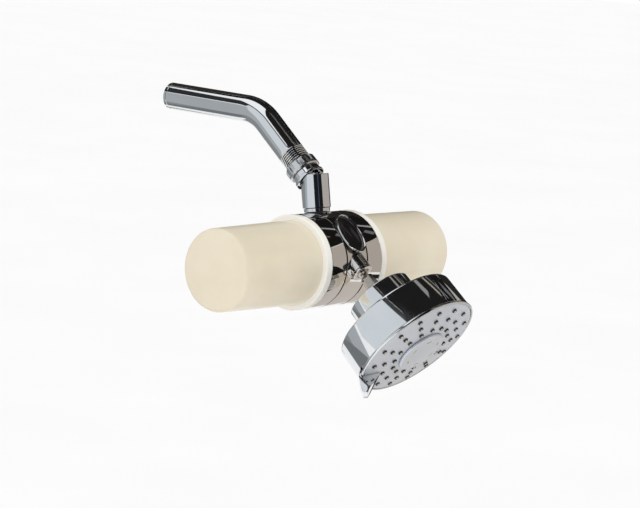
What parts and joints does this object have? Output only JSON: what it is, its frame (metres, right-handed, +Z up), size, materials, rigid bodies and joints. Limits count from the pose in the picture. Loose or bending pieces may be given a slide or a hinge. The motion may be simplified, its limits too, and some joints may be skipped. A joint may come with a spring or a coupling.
{
  "type": "wall-mounted shower filter",
  "caption": "Bent wall arm with a swivel coupling, a barrel filter housing with screw caps, and a round spray head on a ball joint.",
  "frame": {"origin": "middle of the arm's threaded wall end, in the plane of the wall", "axes": "+Y runs into the wall along the arm's wall stretch, +Z is up, +X runs along the filter housing to its right end"},
  "size_m": [0.2566, 0.2999, 0.2086],
  "materials": {
    "chrome": "polished",
    "plated": "polished",
    "steel": "satin",
    "cream": "gloss",
    "black": "gloss",
    "rubber": "matte",
    "nozzle_rubber": "matte",
    "satin": "satin",
    "white": "matte",
    "media": "matte"
  },
  "bodies": {
    "arm": {"shower_arm": "chrome"},
    "inlet": {"swivel_stud": "chrome", "nut_snap_ring": "steel", "inlet_washer": "rubber", "inlet_screen": "steel", "swivel_seal": "rubber", "stud_snap_ring": "steel"},
    "nut": {"coupling_nut": "chrome"},
    "housing": {"connector": "chrome", "connector_gasket": "rubber", "ring_body": "plated", "medallion_rim": "plated", "medallion": "black", "left_cartridge": "white", "left_filter_core": "media", "left_hub_seal": "rubber", "right_cartridge": "white", "right_filter_core": "media", "right_hub_seal": "rubber", "outlet_collar": "plated"},
    "left_cap_carrier": {"left_cap_gasket": "rubber"},
    "left_cap": {"left_cap": "cream"},
    "right_cap_carrier": {"right_cap_gasket": "rubber"},
    "right_cap": {"right_cap": "cream"},
    "ball_seat_body": {"ball_seat": "white"},
    "ball_gasket_body": {"ball_gasket": "rubber"},
    "head": {"ball_stud": "chrome", "head_collar": "plated", "collar_seal": "rubber", "flow_restrictor": "white", "head_shell": "plated", "distributor": "white", "distributor_seal": "rubber", "detent_spring": "steel", "detent_ball": "steel", "centre_screw": "steel"},
    "spray_face": {"face_plate": "satin", "nozzle_mat": "nozzle_rubber", "face_bezel": "plated", "centre_insert": "satin", "selector_lever": "plated"}
  },
  "joints": [
    {"name": "nut_turn", "type": "hinge", "parent": "inlet", "child": "nut", "pos_m": [0, -0.1554, -0.05053], "axis": [0, -0.7771, -0.6293], "range_deg": [0, 720]},
    {"name": "inlet_travel", "type": "slide", "parent": "arm", "child": "inlet", "axis": [0, -0.7771, -0.6293], "range_m": [0, 0.00362]},
    {"name": "housing_swivel", "type": "hinge", "parent": "inlet", "child": "housing", "pos_m": [0, -0.1554, -0.05053], "axis": [0, -0.7771, -0.6293], "continuous": true},
    {"name": "left_cap_travel", "type": "slide", "parent": "housing", "child": "left_cap_carrier", "axis": [-1, 0, 0], "range_m": [0, 0.0076]},
    {"name": "left_cap_turn", "type": "hinge", "parent": "left_cap_carrier", "child": "left_cap", "pos_m": [0, -0.16681, -0.10761], "axis": [-1, 0, 0], "range_deg": [0, 900]},
    {"name": "right_cap_travel", "type": "slide", "parent": "housing", "child": "right_cap_carrier", "axis": [1, 0, 0], "range_m": [0, 0.0076]},
    {"name": "right_cap_turn", "type": "hinge", "parent": "right_cap_carrier", "child": "right_cap", "pos_m": [0, -0.16681, -0.10761], "axis": [1, 0, 0], "range_deg": [0, 900]},
    {"name": "head_pan", "type": "hinge", "parent": "housing", "child": "ball_seat_body", "pos_m": [0, -0.20781, -0.10981], "axis": [0, -0.6293, 0.7771], "range_deg": [-16, 16]},
    {"name": "head_tilt", "type": "hinge", "parent": "ball_seat_body", "child": "ball_gasket_body", "pos_m": [0, -0.20781, -0.10981], "axis": [1, 0, 0], "range_deg": [-16, 16]},
    {"name": "head_spin", "type": "hinge", "parent": "ball_gasket_body", "child": "head", "pos_m": [0, -0.20781, -0.10981], "axis": [0, -0.7771, -0.6293], "continuous": true},
    {"name": "lever_turn", "type": "hinge", "parent": "head", "child": "spray_face", "pos_m": [0, -0.20781, -0.10981], "axis": [0, -0.7771, -0.6293], "range_deg": [-10, 35]}
  ],
  "couplings": [
    {"joint": "nut_turn", "follows": "inlet_travel", "rad_per_m": 3463.7},
    {"joint": "left_cap_travel", "follows": "left_cap_turn", "m_per_rad": 0.00047746},
    {"joint": "right_cap_travel", "follows": "right_cap_turn", "m_per_rad": 0.00047746}
  ]
}
